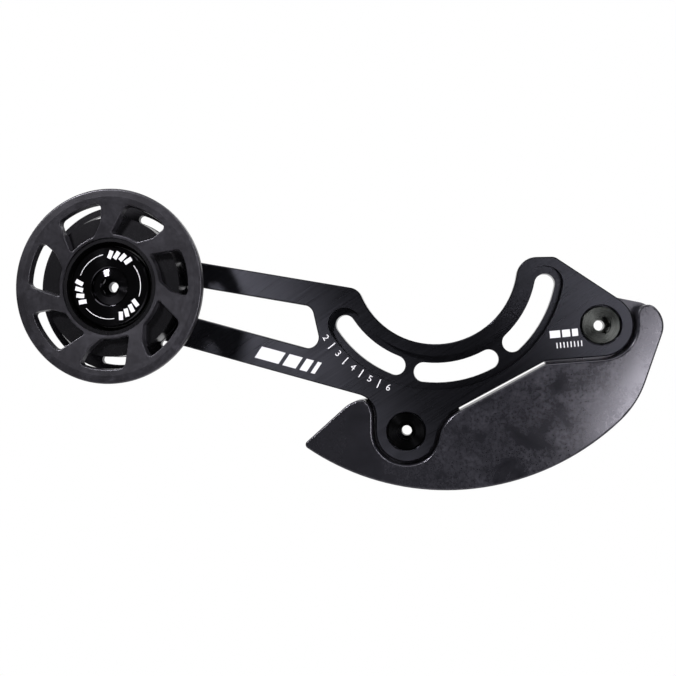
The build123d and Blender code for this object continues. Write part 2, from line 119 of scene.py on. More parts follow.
class GuideFinish(bpy.types.PropertyGroup):
    """Colours, grains and polish of the surfaces."""

    plate_dark: StringProperty(name="Plate dark", description="Anodised plate, sRGB", default="#18181C")
    plate_light: StringProperty(name="Plate light", description="Brushed streaks, sRGB", default="#29292F")
    plate_bloom: FloatProperty(
        name="Plate bloom", description="Size of a dull patch of the dye",
        default=18.18 * MM, unit="LENGTH", precision=4
    )
    brush_angle: FloatProperty(
        name="Brush angle", description="Lay of the brushing above level",
        default=radians(33), subtype="ANGLE"
    )
    # A belt's lines are nearer 0.05 mm wide and are drawn coarser, so that they show
    brush_width: FloatProperty(
        name="Brush line", description="Width of a brush line",
        default=0.3 * MM, unit="LENGTH", precision=5
    )
    brush_stretch: FloatProperty(
        name="Brush stretch", description="Length of a brush line in widths", default=60.0
    )
    skid_dark: StringProperty(name="Skid dark", description="Moulded nylon, sRGB", default="#131317")
    # Scuff colour, which the mask along X also lays on as a painted highlight at the skid's +X end
    skid_scuffs_and_highlight: StringProperty(name="Skid light", description="Scuffed nylon, sRGB", default="#3C3B42")
    skid_scuff: FloatProperty(
        name="Skid scuffs", description="Strength of the skid's scuffs", default=0.8, subtype="FACTOR"
    )
    skid_satin: FloatProperty(
        name="Skid satin", description="Roughness of the skid as moulded", default=0.27, subtype="FACTOR"
    )
    skid_gloss: FloatProperty(
        name="Skid gloss", description="Roughness of the skid's rubbed face", default=0.11, subtype="FACTOR"
    )
    skid_cloud: FloatProperty(
        name="Skid cloud", description="Size of a scuffed patch",
        default=10 * MM, unit="LENGTH", precision=4
    )
    # The lighter colour that grows between these two X is partly scuffing and partly a painted highlight of
    # the +X end
    wear_and_highlight_from: FloatProperty(
        name="Worn from", description="X where the skid's scuffs begin",
        default=-30 * MM, unit="LENGTH", precision=4
    )
    wear_and_highlight_to: FloatProperty(
        name="Worn to", description="X where the skid is scuffed in full",
        default=15 * MM, unit="LENGTH", precision=4
    )
    pulley_dark: StringProperty(name="Pulley dark", description="Moulded nylon, sRGB", default="#0C0B0E")
    pulley_light: StringProperty(name="Pulley light", description="Rubbed nylon, sRGB", default="#35343A")
    flange_scuff: FloatProperty(
        name="Flange scuffs", description="Strength of the front flange's scuffs",
        default=0.6, subtype="FACTOR"
    )
    flange_satin: FloatProperty(
        name="Flange satin", description="Roughness of the front flange", default=0.33, subtype="FACTOR"
    )
    # The drum is darker than the flange as painted shade, where it lies deep behind the flange's openings
    drum_painted_shade: StringProperty(
        name="Drum dark", description="Moulded nylon of the drum, sRGB", default="#070708"
    )
    drum_scuff: FloatProperty(
        name="Drum scuffs", description="Strength of the drum's scuffs", default=0.3, subtype="FACTOR"
    )
    drum_satin: FloatProperty(
        name="Drum satin", description="Roughness of the drum", default=0.24, subtype="FACTOR"
    )
    # A mould's grain is nearer 0.1 mm and is drawn coarser, so that it shows
    moulded_grain: FloatProperty(
        name="Moulded grain", description="Size of the mould's grain",
        default=0.35 * MM, unit="LENGTH", precision=5
    )
    # The violet tint is the colour of the light, painted into the nylon's reflections
    nylon_light_tint: StringProperty(
        name="Nylon sheen", description="Tint of the nylon's reflections, sRGB", default="#F5F1FF"
    )
    # A lathe's rings are nearer 0.05 mm wide and are drawn coarser, so that they show
    turned_line: FloatProperty(
        name="Turned ring", description="Width of a ring on a turned face",
        default=0.12 * MM, unit="LENGTH", precision=5
    )
    bolt_bare: StringProperty(name="Bare bolt", description="Turned aluminium, sRGB", default="#323332")
    bare_rough: FloatProperty(
        name="Bare roughness", description="Roughness of the bare bolt", default=0.26, subtype="FACTOR"
    )
    bare_groove: FloatProperty(
        name="Bare groove", description="Depth of the bare bolt's rings",
        default=0.02 * MM, unit="LENGTH", precision=6
    )
    bolt_black: StringProperty(
        name="Black bolt", description="Black anodised aluminium, sRGB", default="#0C0C0D"
    )
    black_rough: FloatProperty(
        name="Black roughness", description="Roughness of the black bolt, nuts and races",
        default=0.4, subtype="FACTOR"
    )
    black_groove: FloatProperty(
        name="Black groove", description="Depth of the rings on the black bolt, nuts and bearing",
        default=0.01 * MM, unit="LENGTH", precision=6
    )
    cap_black: StringProperty(name="Cap", description="Polished black cap, sRGB", default="#38373B")
    hub_rough: FloatProperty(
        name="Hub bolt roughness", description="Roughness of the pulley's bolt",
        default=0.12, subtype="FACTOR"
    )
    hub_groove: FloatProperty(
        name="Hub bolt groove", description="Depth of the rings on the pulley's bolt",
        default=0.0005 * MM, unit="LENGTH", precision=6
    )
    cap_rough: FloatProperty(
        name="Cap roughness", description="Roughness of the polished cap", default=0.1, subtype="FACTOR"
    )
    cap_groove: FloatProperty(
        name="Cap groove", description="Depth of the rings on the polished cap",
        default=0.0002 * MM, unit="LENGTH", precision=6
    )
    steel: StringProperty(name="Steel", description="Ground bearing steel, sRGB", default="#B9BABC")
    steel_rough: FloatProperty(
        name="Steel roughness", description="Roughness of the ground steel", default=0.2, subtype="FACTOR"
    )
    ground_line: FloatProperty(
        name="Ground ring", description="Width of a ring on the bearing's steel",
        default=0.1 * MM, unit="LENGTH", precision=5
    )
    oxide: StringProperty(name="Oxide", description="Black oxide on the races, sRGB", default="#161516")
    seal: StringProperty(name="Seal", description="Seal rubber, sRGB", default="#141415")
    seal_bloom: FloatProperty(
        name="Seal bloom", description="Size of a dusty spot on the seals",
        default=1.11 * MM, unit="LENGTH", precision=5
    )
    ink: StringProperty(name="Ink", description="White print, sRGB", default="#E4E2E8")
    ink_shade: StringProperty(
        name="Ink shade", description="Thin spots of the print, sRGB", default="#CFCDD3"
    )
    ink_grain: FloatProperty(
        name="Ink grain", description="Size of a thin spot of the print",
        default=0.25 * MM, unit="LENGTH", precision=5
    )


class GuidePrint(bpy.types.PropertyGroup):
    """Sizes and places of the white print."""

    ink_t: FloatProperty(
        name="Ink", description="Thickness of the print",
        default=0.03 * MM, unit="LENGTH", precision=5
    )
    scale_r: FloatProperty(
        name="Scale radius", description="Middle of the setting marks",
        default=41.3 * MM, unit="LENGTH", precision=4
    )
    scale_start: FloatProperty(
        name="Scale start", description="Angle of the first number",
        default=radians(-146.1), subtype="ANGLE"
    )
    scale_pitch: FloatProperty(
        name="Scale pitch", description="Angle from number to number",
        default=radians(8.87), subtype="ANGLE"
    )
    scale_first: IntProperty(name="First number", description="First number of the scale", default=2)
    scale_count: IntProperty(name="Scale numbers", description="Numbers on the scale", default=5, min=2)
    tick_length: FloatProperty(
        name="Tick", description="Length of a tick",
        default=2.85 * MM, unit="LENGTH", precision=4
    )
    line_w: FloatProperty(
        name="Line", description="Width of a tick",
        default=0.34 * MM, unit="LENGTH", precision=5
    )
    number_size: FloatProperty(
        name="Numbers", description="Height of the type",
        default=2.9 * MM, unit="LENGTH", precision=4
    )
    ring_r: FloatProperty(
        name="Cap ring", description="Radius of the cap's printed ring",
        default=10.2 * MM, unit="LENGTH", precision=4
    )
    ring_w: FloatProperty(
        name="Ring line", description="Width of the ring's line",
        default=0.22 * MM, unit="LENGTH", precision=5
    )
    ring_sweep: FloatProperty(
        name="Ring arc", description="Sweep of one arc of the ring",
        default=radians(57.5), subtype="ANGLE"
    )
    ring_start: FloatProperty(
        name="Ring start", description="Angle of the first arc",
        default=radians(-18.2), subtype="ANGLE"
    )
    ring_count: IntProperty(name="Ring arcs", description="Arcs of the ring", default=3, min=1)
    bar_count: IntProperty(name="Cap bars", description="Bars between two arcs of the ring", default=4, min=1)
    bar_inset: FloatProperty(
        name="Bar inset", description="Middle of the cap's bars inside the ring",
        default=0.2 * MM, unit="LENGTH", precision=5
    )
    bar_pitch: FloatProperty(
        name="Bar pitch", description="Angle from bar to bar on the cap",
        default=radians(12.0), subtype="ANGLE"
    )
    bar_length: FloatProperty(
        name="Bar length", description="Length of a bar on the cap",
        default=2.6 * MM, unit="LENGTH", precision=4
    )
    bar_width: FloatProperty(
        name="Bar width", description="Width of a bar on the cap",
        default=1.35 * MM, unit="LENGTH", precision=4
    )
    bar_slant: FloatProperty(
        name="Bar slant", description="Lean of a bar on the cap",
        default=radians(-20), subtype="ANGLE"
    )
    arm_place: FloatVectorProperty(
        name="Arm bars", description="Left end of the arm's bars, X and Z", size=2,
        default=(-56.0 * MM, -27.5 * MM), unit="LENGTH", precision=4
    )
    arm_angle: FloatProperty(
        name="Arm angle", description="Lay of the arm's bars",
        default=radians(-15.0), subtype="ANGLE"
    )
    arm_count: IntProperty(name="Arm count", description="Bars on the arm", default=4, min=1)
    arm_bar: FloatProperty(
        name="Arm bar", description="Width of the first bar",
        default=8.0 * MM, unit="LENGTH", precision=4
    )
    arm_shrink: FloatProperty(
        name="Arm shrink", description="Width of a bar to that of the bar before it",
        default=0.55, subtype="FACTOR"
    )
    arm_gap: FloatProperty(
        name="Arm gap", description="Gap from bar to bar on the arm",
        default=1.3 * MM, unit="LENGTH", precision=4
    )
    arm_height: FloatProperty(
        name="Arm height", description="Height of the arm's bars",
        default=4.0 * MM, unit="LENGTH", precision=4
    )
    arm_slant: FloatProperty(
        name="Arm slant", description="Lean of the arm's bars",
        default=radians(19.0), subtype="ANGLE"
    )
    lobe_place: FloatVectorProperty(
        name="Lobe bars", description="Left end of the lobe's bars, X and Z", size=2,
        default=(34.6 * MM, -22.3 * MM), unit="LENGTH", precision=4
    )
    lobe_angle: FloatProperty(
        name="Lobe angle", description="Lay of the lobe's bars and of its rule",
        default=radians(5.5), subtype="ANGLE"
    )
    lobe_count: IntProperty(name="Lobe count", description="Bars on the lobe", default=3, min=1)
    lobe_bar: FloatProperty(
        name="Lobe bar", description="Width of the lobe's first bar",
        default=3.1 * MM, unit="LENGTH", precision=4
    )
    lobe_shrink: FloatProperty(
        name="Lobe shrink", description="Width of a bar to that of the bar before it",
        default=0.75, subtype="FACTOR"
    )
    lobe_gap: FloatProperty(
        name="Lobe gap", description="Gap from bar to bar on the lobe",
        default=0.6 * MM, unit="LENGTH", precision=4
    )
    lobe_height: FloatProperty(
        name="Lobe height", description="Height of the lobe's bars",
        default=2.2 * MM, unit="LENGTH", precision=4
    )
    rule_place: FloatVectorProperty(
        name="Lobe rule", description="Left end of the lobe's fine rule, X and Z", size=2,
        default=(36.6 * MM, -25.6 * MM), unit="LENGTH", precision=4
    )
    rule_count: IntProperty(name="Rule count", description="Lines of the rule", default=8, min=1)
    rule_line: FloatProperty(
        name="Rule line", description="Width of the rule's first line",
        default=0.32 * MM, unit="LENGTH", precision=5
    )
    rule_shrink: FloatProperty(
        name="Rule shrink", description="Width of a line to that of the line before it, below 1",
        default=0.999, subtype="FACTOR"
    )
    rule_gap: FloatProperty(
        name="Rule gap", description="Gap from line to line of the rule",
        default=0.72 * MM, unit="LENGTH", precision=5
    )
    rule_height: FloatProperty(
        name="Rule height", description="Height of the rule's lines",
        default=1.7 * MM, unit="LENGTH", precision=4
    )


class GuideStudio(bpy.types.PropertyGroup):
    """Camera, lamps and background."""

    camera_place: FloatVectorProperty(
        name="Camera", description="Place of the camera",
        default=(0.00474, -0.2600, -0.02758), unit="LENGTH"
    )
    camera_aim: FloatVectorProperty(
        name="Aim", description="Direction of view",
        default=(-0.1363, 0.9905, 0.0173), subtype="DIRECTION"
    )
    camera_lens: FloatProperty(name="Lens", description="Focal length in mm", default=43.57, unit="CAMERA")
    camera_near: FloatProperty(
        name="Near", description="Nearest distance that the camera shows", default=0.01, unit="LENGTH"
    )
    key_place: FloatVectorProperty(
        name="Key", description="Place of the softbox at the upper left",
        default=(-0.49, -0.50, 0.41), unit="LENGTH"
    )
    key_size: FloatVectorProperty(
        name="Key size", description="Width and height of the key", size=2,
        default=(0.12, 0.12), unit="LENGTH"
    )
    key_glow: FloatProperty(name="Key glow", description="Brightness of the key, 1 is white", default=125.0)
    side_place: FloatVectorProperty(
        name="Side", description="Place of the softbox at the right",
        default=(0.302, -0.60, -0.092), unit="LENGTH"
    )
    side_size: FloatVectorProperty(
        name="Side size", description="Width and height of the side", size=2,
        default=(0.26, 0.22), unit="LENGTH"
    )
    side_roll: FloatProperty(
        name="Side roll", description="Lean of the side", default=radians(-29.2), subtype="ANGLE"
    )
    side_glow: FloatProperty(name="Side glow", description="Brightness of the side, 1 is white", default=12.0)
    fill_place: FloatVectorProperty(
        name="Fill", description="Place of the softbox at the upper right",
        default=(0.42, -0.55, 0.42), unit="LENGTH"
    )
    fill_size: FloatVectorProperty(
        name="Fill size", description="Width and height of the fill", size=2,
        default=(0.20, 0.20), unit="LENGTH"
    )
    fill_glow: FloatProperty(name="Fill glow", description="Brightness of the fill, 1 is white", default=18.0)
    top_place: FloatVectorProperty(
        name="Top", description="Place of the softbox above",
        default=(-0.05, -0.25, 0.75), unit="LENGTH"
    )
    top_size: FloatVectorProperty(
        name="Top size", description="Width and height of the top", size=2,
        default=(0.8, 0.4), unit="LENGTH"
    )
    top_glow: FloatProperty(name="Top glow", description="Brightness of the top, 1 is white", default=3.0)
    back_place: FloatVectorProperty(
        name="Back", description="Place of the softbox behind",
        default=(0.25, 0.70, 0.60), unit="LENGTH"
    )
    back_size: FloatVectorProperty(
        name="Back size", description="Width and height of the back", size=2,
        default=(0.5, 0.3), unit="LENGTH"
    )
    back_glow: FloatProperty(name="Back glow", description="Brightness of the back, 1 is white", default=5.0)
    room_grey: FloatProperty(name="Room", description="Brightness of the room", default=0.06)
    paper: StringProperty(name="Paper", description="White paper of the backdrop, sRGB", default="#F4F4F4")
    sheet_size: FloatProperty(
        name="Sheet", description="Side of the floor and of the backdrop", default=8.0, unit="LENGTH"
    )
    backdrop_far: FloatProperty(
        name="Backdrop distance", description="Backdrop behind the plate", default=1.5, unit="LENGTH"
    )
    floor_drop: FloatProperty(name="Floor", description="Floor below the origin", default=0.5, unit="LENGTH")
    white_from: FloatProperty(
        name="White from", description="Y where the paper starts to show pure white",
        default=0.05, unit="LENGTH"
    )
    white_to: FloatProperty(
        name="White to", description="Y where the paper shows pure white", default=0.12, unit="LENGTH"
    )


def linear(code):
    """Linear RGBA of an sRGB hex colour."""
    channels = [int(code[i:i + 2], 16) / 255 for i in (1, 3, 5)]
    return [c / 12.92 if c <= 0.04045 else ((c + 0.055) / 1.055) ** 2.4 for c in channels] + [1.0]


def add_node(tree, kind, inputs=None, **settings):
    """Adds a node with its settings. An input that is a socket is linked, any other is set."""
    new = tree.nodes.new(kind)
    for name, value in settings.items():
        setattr(new, name, value)
    for key, value in (inputs or {}).items():
        if isinstance(value, bpy.types.NodeSocket):
            tree.links.new(value, new.inputs[key])
        else:
            new.inputs[key].default_value = value
    return new


def start_material(name):
    """Empty material, its tree and the Object coordinates."""
    material = bpy.data.materials.new(name)
    material.use_nodes = True
    tree = material.node_tree
    tree.nodes.clear()
    place = add_node(tree, "ShaderNodeTexCoord").outputs["Object"]
    return material, tree, place


def end_material(material, tree, inputs):
    """Closes a material with one Principled shader."""
    shader = add_node(tree, "ShaderNodeBsdfPrincipled", inputs)
    add_node(tree, "ShaderNodeOutputMaterial", {"Surface": shader.outputs["BSDF"]})
    return material


def brushed_anodised(name, finish):
    """Black anodised aluminium, brushed with an abrasive belt before dyeing.

    The dye leaves a dark satin metal, duller in wide soft patches. The belt's lines run one way, catch the
    light as fine streaks and smear reflections across the lay.
    """
    material, tree, place = start_material(name)
    angle = finish.brush_angle
    across_lay = finish.brush_width
    along_lay = finish.brush_stretch * across_lay
    lay = add_node(
        tree, "ShaderNodeMapping",
        {"Vector": place, "Rotation": (0, -angle, 0), "Scale": (along_lay, along_lay, across_lay)},
        vector_type="TEXTURE",
    ).outputs["Vector"]
    lines = add_node(
        tree, "ShaderNodeTexNoise", {"Vector": lay, "Scale": 1.0, "Detail": 3.0}
    ).outputs["Fac"]
    bloom = add_node(
        tree, "ShaderNodeTexNoise", {"Vector": place, "Scale": 1 / finish.plate_bloom, "Detail": 2.0}
    ).outputs["Fac"]
    satin = add_node(
        tree, "ShaderNodeMapRange",
        {"Value": lines, "From Min": NOISE_LOW, "From Max": NOISE_HIGH, "To Min": 0.27, "To Max": 0.33},
    ).outputs["Result"]
    cloudy = add_node(
        tree, "ShaderNodeMapRange",
        {"Value": bloom, "From Min": NOISE_LOW, "From Max": NOISE_HIGH, "To Min": -0.02, "To Max": 0.03},
    ).outputs["Result"]
    rough = add_node(tree, "ShaderNodeMath", {0: satin, 1: cloudy}, operation="ADD").outputs["Value"]
    bump = add_node(
        tree, "ShaderNodeBump", {"Height": lines, "Strength": 0.2, "Distance": 0.03 * MM}
    ).outputs["Normal"]
    across = add_node(tree, "ShaderNodeCombineXYZ", {"X": -sin(angle), "Z": cos(angle)}).outputs["Vector"]
    colour = add_node(
        tree, "ShaderNodeMix",
        {0: lines, MIX_A: linear(finish.plate_dark), MIX_B: linear(finish.plate_light)},
        data_type="RGBA",
    ).outputs[MIX_RESULT]
    return end_material(material, tree, {
        "Base Color": colour, "Metallic": 0.9, "Roughness": rough,
        "Anisotropic": 1.0, "Tangent": across, "Normal": bump,
    })


def moulded_nylon(name, finish, dark, light, scuff, satin, gloss, wear_highlight_and_face):
    """Glass-filled nylon, injection moulded.

    The fill leaves a dark, slightly cloudy satin skin with a fine grain. Rubbing polishes it to a gloss, with
    lighter, fibrous scuffs that are dull. Scuffs and polish grow along X between the first two places of
    wear_highlight_and_face, and the lighter colour that grows with them stands partly for scuffing and partly
    for a painted highlight. Only the face at the third, a Y, is polished, not the rim and the sides behind it.
    """
    material, tree, place = start_material(name)
    grain = finish.moulded_grain
    patches = add_node(
        tree, "ShaderNodeTexNoise",
        {
            "Vector": place, "Scale": 1 / finish.skid_cloud, "Detail": 8.0,
            "Roughness": 0.64, "Distortion": 0.25,
        },
    ).outputs["Fac"]
    fibres = add_node(
        tree, "ShaderNodeTexNoise",
        {
            "Vector": place, "Scale": 1 / (grain * GRAINS_PER_FIBRE), "Detail": 5.0,
            "Roughness": 0.75, "Distortion": 0.4,
        },
    ).outputs["Fac"]
    skin = add_node(
        tree, "ShaderNodeTexNoise", {"Vector": place, "Scale": 1 / grain, "Detail": 2.0}
    ).outputs["Fac"]
    split = add_node(tree, "ShaderNodeSeparateXYZ", {"Vector": place}).outputs
    wear_and_highlight_from, wear_and_highlight_to, worn_face = wear_highlight_and_face
    # The lighter colour rising along X is partly scuffing and partly a painted highlight of the skid's bright
    # +X end
    wear_and_highlight = add_node(
        tree, "ShaderNodeMapRange",
        {
            "Value": split["X"], "From Min": wear_and_highlight_from, "From Max": wear_and_highlight_to,
            "To Min": FIRST_SCUFFS * scuff, "To Max": scuff,
        },
    ).outputs["Result"]
    # Rubbed patches, which towards +X also carry the painted highlight
    rubbed = add_node(
        tree, "ShaderNodeMapRange",
        {"Value": patches, "From Min": 0.34, "From Max": 0.8, "To Min": 0.0, "To Max": wear_and_highlight},
    ).outputs["Result"]
    fibrous = add_node(
        tree, "ShaderNodeMapRange",
        {"Value": fibres, "From Min": 0.32, "From Max": 0.7, "To Min": 0.1, "To Max": 1.6},
    ).outputs["Result"]
    share = add_node(
        tree, "ShaderNodeMath", {0: rubbed, 1: fibrous}, operation="MULTIPLY", use_clamp=True
    ).outputs["Value"]
    face = add_node(
        tree, "ShaderNodeMapRange",
        {"Value": split["X"], "From Min": wear_and_highlight_from, "From Max": wear_and_highlight_to, "To Min": satin, "To Max": gloss},
    ).outputs["Result"]
    polish = add_node(
        tree, "ShaderNodeMapRange",
        {
            "Value": split["Y"], "From Min": worn_face, "From Max": worn_face + RIM_DEPTH,
            "To Min": face, "To Max": satin,
        },
    ).outputs["Result"]
    rough = add_node(
        tree, "ShaderNodeMath", {0: share, 1: SCUFF_ROUGH, 2: polish}, operation="MULTIPLY_ADD"
    ).outputs["Value"]
    shine = add_node(
        tree, "ShaderNodeMapRange", {"Value": share, "To Min": 0.55, "To Max": 0.3}
    ).outputs["Result"]
    bump = add_node(
        tree, "ShaderNodeBump", {"Height": skin, "Strength": 0.1, "Distance": 0.03 * MM}
    ).outputs["Normal"]
    # Scuffed colour; along X on the skid it is also a painted highlight
    colour = add_node(
        tree, "ShaderNodeMix", {0: share, MIX_A: linear(dark), MIX_B: linear(light)}, data_type="RGBA"
    ).outputs[MIX_RESULT]
    # Specular Tint paints the light's violet into the reflections
    return end_material(material, tree, {
        "Base Color": colour, "Roughness": rough, "IOR": 1.53, "Normal": bump,
        "Specular IOR Level": shine, "Specular Tint": linear(finish.nylon_light_tint),
    })


def turned_metal(name, colour, rough, line_w, groove, centre):
    """Metal turned on a lathe: fine rings that spread each reflection into two fans."""
    material, tree, place = start_material(name)
    local = add_node(
        tree, "ShaderNodeMapping", {"Vector": place, "Location": (-centre[0], 0, -centre[1])}
    ).outputs["Vector"]
    split = add_node(tree, "ShaderNodeSeparateXYZ", {"Vector": local}).outputs
    outwards = add_node(tree, "ShaderNodeCombineXYZ", {"X": split["X"], "Z": split["Z"]}).outputs["Vector"]
    radius = add_node(
        tree, "ShaderNodeVectorMath", {0: outwards}, operation="LENGTH"
    ).outputs["Value"]
    rings = add_node(
        tree, "ShaderNodeTexNoise", {"W": radius, "Scale": 1 / line_w, "Detail": 2.0}, noise_dimensions="1D"
    ).outputs["Fac"]
    satin = add_node(
        tree, "ShaderNodeMapRange",
        {
            "Value": rings, "From Min": NOISE_LOW, "From Max": NOISE_HIGH,
            "To Min": rough - RING_ROUGH, "To Max": rough + RING_ROUGH,
        },
    ).outputs["Result"]
    bump = add_node(
        tree, "ShaderNodeBump", {"Height": rings, "Strength": 0.8, "Distance": groove}
    ).outputs["Normal"]
    return end_material(material, tree, {
        "Base Color": linear(colour), "Metallic": 1.0, "Roughness": satin, "Normal": bump,
        "Anisotropic": 0.9, "Tangent": outwards,
    })


def screen_ink(name, finish):
    """White screen ink: a matt film with a slightly uneven, grainy cover."""
    material, tree, place = start_material(name)
    grain = add_node(
        tree, "ShaderNodeTexNoise", {"Vector": place, "Scale": 1 / finish.ink_grain, "Detail": 2.0}
    ).outputs["Fac"]
    cover = add_node(
        tree, "ShaderNodeMix",
        {0: grain, MIX_A: linear(finish.ink), MIX_B: linear(finish.ink_shade)},
        data_type="RGBA",
    ).outputs[MIX_RESULT]
    return end_material(material, tree, {"Base Color": cover, "Roughness": 0.6})


def seal_rubber(name, finish):
    """Nitrile rubber: matt black with a faint dusty bloom."""
    material, tree, place = start_material(name)
    bloom = add_node(
        tree, "ShaderNodeTexNoise", {"Vector": place, "Scale": 1 / finish.seal_bloom, "Detail": 3.0}
    ).outputs["Fac"]
    rough = add_node(
        tree, "ShaderNodeMapRange", {"Value": bloom, "To Min": 0.55, "To Max": 0.8}
    ).outputs["Result"]
    return end_material(material, tree, {"Base Color": linear(finish.seal), "Roughness": rough})


def white_paper(name, studio):
    """White paper. Behind the object the camera and reflections see it as pure white, near it stays plain."""
    material, tree, place = start_material(name)
    depth = add_node(tree, "ShaderNodeSeparateXYZ", {"Vector": place}).outputs["Y"]
    behind = add_node(
        tree, "ShaderNodeMapRange",
        {"Value": depth, "From Min": studio.white_from, "From Max": studio.white_to},
    ).outputs["Result"]
    path = add_node(tree, "ShaderNodeLightPath").outputs
    seen = add_node(
        tree, "ShaderNodeMath", {0: path["Is Camera Ray"], 1: path["Is Glossy Ray"]}, operation="MAXIMUM"
    ).outputs["Value"]
    shown = add_node(
        tree, "ShaderNodeMath", {0: seen, 1: path["Is Transmission Ray"]}, operation="MAXIMUM"
    ).outputs["Value"]
    share = add_node(tree, "ShaderNodeMath", {0: shown, 1: behind}, operation="MULTIPLY").outputs["Value"]
    plain = add_node(tree, "ShaderNodeBsdfDiffuse", {"Color": linear(studio.paper)}).outputs["BSDF"]
    glow = add_node(tree, "ShaderNodeEmission", {"Color": WHITE, "Strength": 1.0}).outputs["Emission"]
    mix = add_node(tree, "ShaderNodeMixShader", {0: share, 1: plain, 2: glow}).outputs["Shader"]
    add_node(tree, "ShaderNodeOutputMaterial", {"Surface": mix})
    return material


def paint(node, material):
    """Gives a solid its surface."""
    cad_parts[node].material_slots[0].material = material


def new_tree(name, sizes):
    """Geometry tree with a Count, the named sizes and a Material as inputs, its points and their index."""
    tree = bpy.data.node_groups.new(name, "GeometryNodeTree")
    tree.interface.new_socket("Count", in_out="INPUT", socket_type="NodeSocketInt")
    for label in sizes:
        tree.interface.new_socket(label, in_out="INPUT", socket_type="NodeSocketFloat")
    tree.interface.new_socket("Material", in_out="INPUT", socket_type="NodeSocketMaterial")
    tree.interface.new_socket("Geometry", in_out="OUTPUT", socket_type="NodeSocketGeometry")
    group = add_node(tree, "NodeGroupInput").outputs
    points = add_node(tree, "GeometryNodePoints", {"Count": group["Count"]}).outputs["Geometry"]
    index = add_node(tree, "GeometryNodeInputIndex").outputs["Index"]
    return tree, group, points, index


def turned_copies(tree, points, shape, angle):
    """A copy of a flat shape on each point, turned in its plane."""
    turn = add_node(tree, "ShaderNodeCombineXYZ", {"Z": angle}).outputs["Vector"]
    rotation = add_node(tree, "FunctionNodeEulerToRotation", {"Euler": turn}).outputs["Rotation"]
    return add_node(
        tree, "GeometryNodeInstanceOnPoints", {"Points": points, "Instance": shape, "Rotation": rotation}
    ).outputs["Instances"]


def end_tree(tree, group, instances):
    """Realizes the instances, gives them their material and closes the tree."""
    solid = add_node(tree, "GeometryNodeRealizeInstances", {"Geometry": instances}).outputs["Geometry"]
    painted = add_node(
        tree, "GeometryNodeSetMaterial", {"Geometry": solid, "Material": group["Material"]}
    ).outputs["Geometry"]
    add_node(tree, "NodeGroupOutput", {"Geometry": painted})
    return tree


def fan_of_bars():
    """Tree of bars set round a circle, each with its length along the radius."""
    tree, group, points, index = new_tree(
        "fan_of_bars", ("Radius", "Start", "Pitch", "Length", "Width", "Thickness", "Slant")
    )
    angle = add_node(
        tree, "ShaderNodeMath", {0: index, 1: group["Pitch"], 2: group["Start"]}, operation="MULTIPLY_ADD"
    ).outputs["Value"]
    along = add_node(tree, "ShaderNodeMath", {0: angle}, operation="COSINE").outputs["Value"]
    up = add_node(tree, "ShaderNodeMath", {0: angle}, operation="SINE").outputs["Value"]
    ray = add_node(tree, "ShaderNodeCombineXYZ", {"X": along, "Y": up}).outputs["Vector"]
    place = add_node(
        tree, "ShaderNodeVectorMath", {0: ray, "Scale": group["Radius"]}, operation="SCALE"
    ).outputs["Vector"]
    placed = add_node(
        tree, "GeometryNodeSetPosition", {"Geometry": points, "Position": place}
    ).outputs["Geometry"]
    size = add_node(
        tree, "ShaderNodeCombineXYZ", {"X": group["Length"], "Y": group["Width"], "Z": group["Thickness"]}
    ).outputs["Vector"]
    bar = add_node(tree, "GeometryNodeMeshCube", {"Size": size}).outputs["Mesh"]
    lean = add_node(tree, "ShaderNodeMath", {0: angle, 1: group["Slant"]}, operation="ADD").outputs["Value"]
    return end_tree(tree, group, turned_copies(tree, placed, bar, lean))


